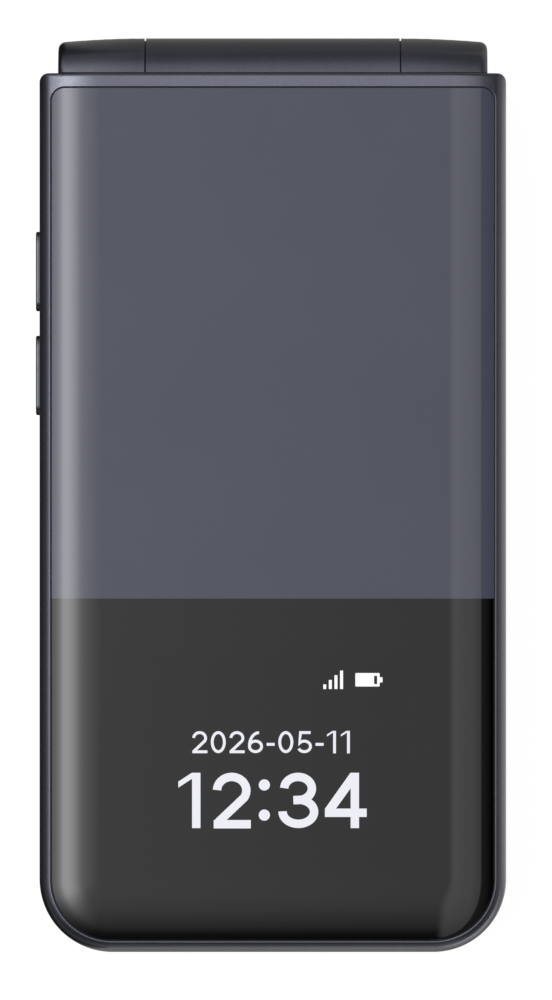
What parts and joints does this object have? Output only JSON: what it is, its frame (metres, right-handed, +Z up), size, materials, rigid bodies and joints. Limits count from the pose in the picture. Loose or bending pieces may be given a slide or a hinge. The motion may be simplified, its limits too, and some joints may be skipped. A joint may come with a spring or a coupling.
{
  "type": "flip phone",
  "caption": "Folding mobile phone with a hinged lid, outer clock display, camera, keypad, side keys and removable battery cover.",
  "frame": {"origin": "middle of the flat back that the closed phone lies on", "axes": "+X to the right seen from the front of the lid, +Y towards the hinge, +Z up through the lid"},
  "size_m": [0.0614, 0.1192, 0.0176],
  "materials": {
    "case_paint": "satin",
    "tinted_window": "gloss",
    "display_glass": "gloss",
    "display_frame": "satin",
    "steel": "satin",
    "spring_steel": "satin",
    "cam_bronze": "satin",
    "contact_gold": "polished",
    "circuit_board": "satin",
    "flat_cable": "satin",
    "key_plastic": "satin",
    "key_sheet": "matte",
    "soft_plug": "matte",
    "magnet": "satin",
    "battery_label": "matte",
    "lens_black": "gloss",
    "speaker_black": "matte"
  },
  "bodies": {
    "base": {"base_front_case": "case_paint", "base_rear_case": "case_paint", "battery": "battery_label", "main_board": "circuit_board", "board_shields": "steel", "dome_sheet": "steel", "keymat": "key_sheet", "camera_module": "lens_black", "camera_window": "display_glass", "loudspeaker": "speaker_black", "vibration_motor": "steel", "usb_port": "steel", "earphone_jack": "speaker_black", "battery_contacts": "contact_gold", "sim_socket": "steel", "side_key_board": "flat_cable", "hinge_shaft": "steel", "hinge_bush": "speaker_black", "hinge_flex": "flat_cable", "base_screws": "spring_steel"},
    "lid": {"lid_front_case": "case_paint", "cover_window": "tinted_window", "outer_display": "display_frame", "lid_bracket": "steel", "lid_board": "circuit_board", "earpiece": "speaker_black", "earpiece_mesh": "steel", "main_display": "display_frame", "display_window": "display_glass", "lid_rear_case": "case_paint", "lid_bumpers": "soft_plug", "lid_screws": "spring_steel", "lid_magnet": "magnet", "hinge_housing": "steel", "hinge_spring": "spring_steel", "hinge_follower": "cam_bronze"},
    "battery_cover": {"battery_cover": "case_paint"},
    "volume_up_key": {"volume_up_key": "case_paint"},
    "volume_down_key": {"volume_down_key": "case_paint"},
    "nav_actuator": {"nav_actuator": "key_sheet"},
    "nav_ring": {"nav_ring": "key_plastic"},
    "ok_key": {"ok_key": "key_plastic"},
    "soft_key_left": {"soft_key_left": "key_plastic"},
    "soft_key_right": {"soft_key_right": "key_plastic"},
    "call_key": {"call_key": "key_plastic"},
    "clear_key": {"clear_key": "key_plastic"},
    "end_key": {"end_key": "key_plastic"},
    "key_1": {"key_1": "key_plastic"},
    "key_2": {"key_2": "key_plastic"},
    "key_3": {"key_3": "key_plastic"},
    "key_4": {"key_4": "key_plastic"},
    "key_5": {"key_5": "key_plastic"},
    "key_6": {"key_6": "key_plastic"},
    "key_7": {"key_7": "key_plastic"},
    "key_8": {"key_8": "key_plastic"},
    "key_9": {"key_9": "key_plastic"},
    "key_star": {"key_star": "key_plastic"},
    "key_0": {"key_0": "key_plastic"},
    "key_hash": {"key_hash": "key_plastic"}
  },
  "joints": [
    {"name": "lid_hinge", "type": "hinge", "parent": "base", "child": "lid", "pos_m": [0, 0.0532, 0.0088], "axis": [-1, 0, 0], "range_deg": [0, 160], "deforming": ["hinge_flex"]},
    {"name": "battery_cover_slide", "type": "slide", "parent": "base", "child": "battery_cover", "axis": [0, 0, -1], "range_m": [0, 0.02]},
    {"name": "volume_up_press", "type": "slide", "parent": "base", "child": "volume_up_key", "axis": [1, 0, 0], "range_m": [0, 0.00025], "stiffness_N_per_m": 3000},
    {"name": "volume_down_press", "type": "slide", "parent": "base", "child": "volume_down_key", "axis": [1, 0, 0], "range_m": [0, 0.00025], "stiffness_N_per_m": 3000},
    {"name": "nav_tilt_y", "type": "hinge", "parent": "base", "child": "nav_actuator", "pos_m": [0, 0.0296, 0.0076], "axis": [1, 0, 0], "range_deg": [-0.8, 0.8], "stiffness_Nm_per_rad": 0.3},
    {"name": "nav_tilt_x", "type": "hinge", "parent": "nav_actuator", "child": "nav_ring", "pos_m": [0, 0.0296, 0.0076], "axis": [0, 1, 0], "range_deg": [-0.8, 0.8], "stiffness_Nm_per_rad": 0.3},
    {"name": "ok_key_press", "type": "slide", "parent": "base", "child": "ok_key", "axis": [0, 0, -1], "range_m": [0, 0.0003], "stiffness_N_per_m": 3000},
    {"name": "soft_key_left_press", "type": "slide", "parent": "base", "child": "soft_key_left", "axis": [0, 0, -1], "range_m": [0, 0.0003], "stiffness_N_per_m": 3000},
    {"name": "soft_key_right_press", "type": "slide", "parent": "base", "child": "soft_key_right", "axis": [0, 0, -1], "range_m": [0, 0.0003], "stiffness_N_per_m": 3000},
    {"name": "call_key_press", "type": "slide", "parent": "base", "child": "call_key", "axis": [0, 0, -1], "range_m": [0, 0.0003], "stiffness_N_per_m": 3000},
    {"name": "clear_key_press", "type": "slide", "parent": "base", "child": "clear_key", "axis": [0, 0, -1], "range_m": [0, 0.0003], "stiffness_N_per_m": 3000},
    {"name": "end_key_press", "type": "slide", "parent": "base", "child": "end_key", "axis": [0, 0, -1], "range_m": [0, 0.0003], "stiffness_N_per_m": 3000},
    {"name": "key_1_press", "type": "slide", "parent": "base", "child": "key_1", "axis": [0, 0, -1], "range_m": [0, 0.0003], "stiffness_N_per_m": 3000},
    {"name": "key_2_press", "type": "slide", "parent": "base", "child": "key_2", "axis": [0, 0, -1], "range_m": [0, 0.0003], "stiffness_N_per_m": 3000},
    {"name": "key_3_press", "type": "slide", "parent": "base", "child": "key_3", "axis": [0, 0, -1], "range_m": [0, 0.0003], "stiffness_N_per_m": 3000},
    {"name": "key_4_press", "type": "slide", "parent": "base", "child": "key_4", "axis": [0, 0, -1], "range_m": [0, 0.0003], "stiffness_N_per_m": 3000},
    {"name": "key_5_press", "type": "slide", "parent": "base", "child": "key_5", "axis": [0, 0, -1], "range_m": [0, 0.0003], "stiffness_N_per_m": 3000},
    {"name": "key_6_press", "type": "slide", "parent": "base", "child": "key_6", "axis": [0, 0, -1], "range_m": [0, 0.0003], "stiffness_N_per_m": 3000},
    {"name": "key_7_press", "type": "slide", "parent": "base", "child": "key_7", "axis": [0, 0, -1], "range_m": [0, 0.0003], "stiffness_N_per_m": 3000},
    {"name": "key_8_press", "type": "slide", "parent": "base", "child": "key_8", "axis": [0, 0, -1], "range_m": [0, 0.0003], "stiffness_N_per_m": 3000},
    {"name": "key_9_press", "type": "slide", "parent": "base", "child": "key_9", "axis": [0, 0, -1], "range_m": [0, 0.0003], "stiffness_N_per_m": 3000},
    {"name": "key_star_press", "type": "slide", "parent": "base", "child": "key_star", "axis": [0, 0, -1], "range_m": [0, 0.0003], "stiffness_N_per_m": 3000},
    {"name": "key_0_press", "type": "slide", "parent": "base", "child": "key_0", "axis": [0, 0, -1], "range_m": [0, 0.0003], "stiffness_N_per_m": 3000},
    {"name": "key_hash_press", "type": "slide", "parent": "base", "child": "key_hash", "axis": [0, 0, -1], "range_m": [0, 0.0003], "stiffness_N_per_m": 3000}
  ]
}
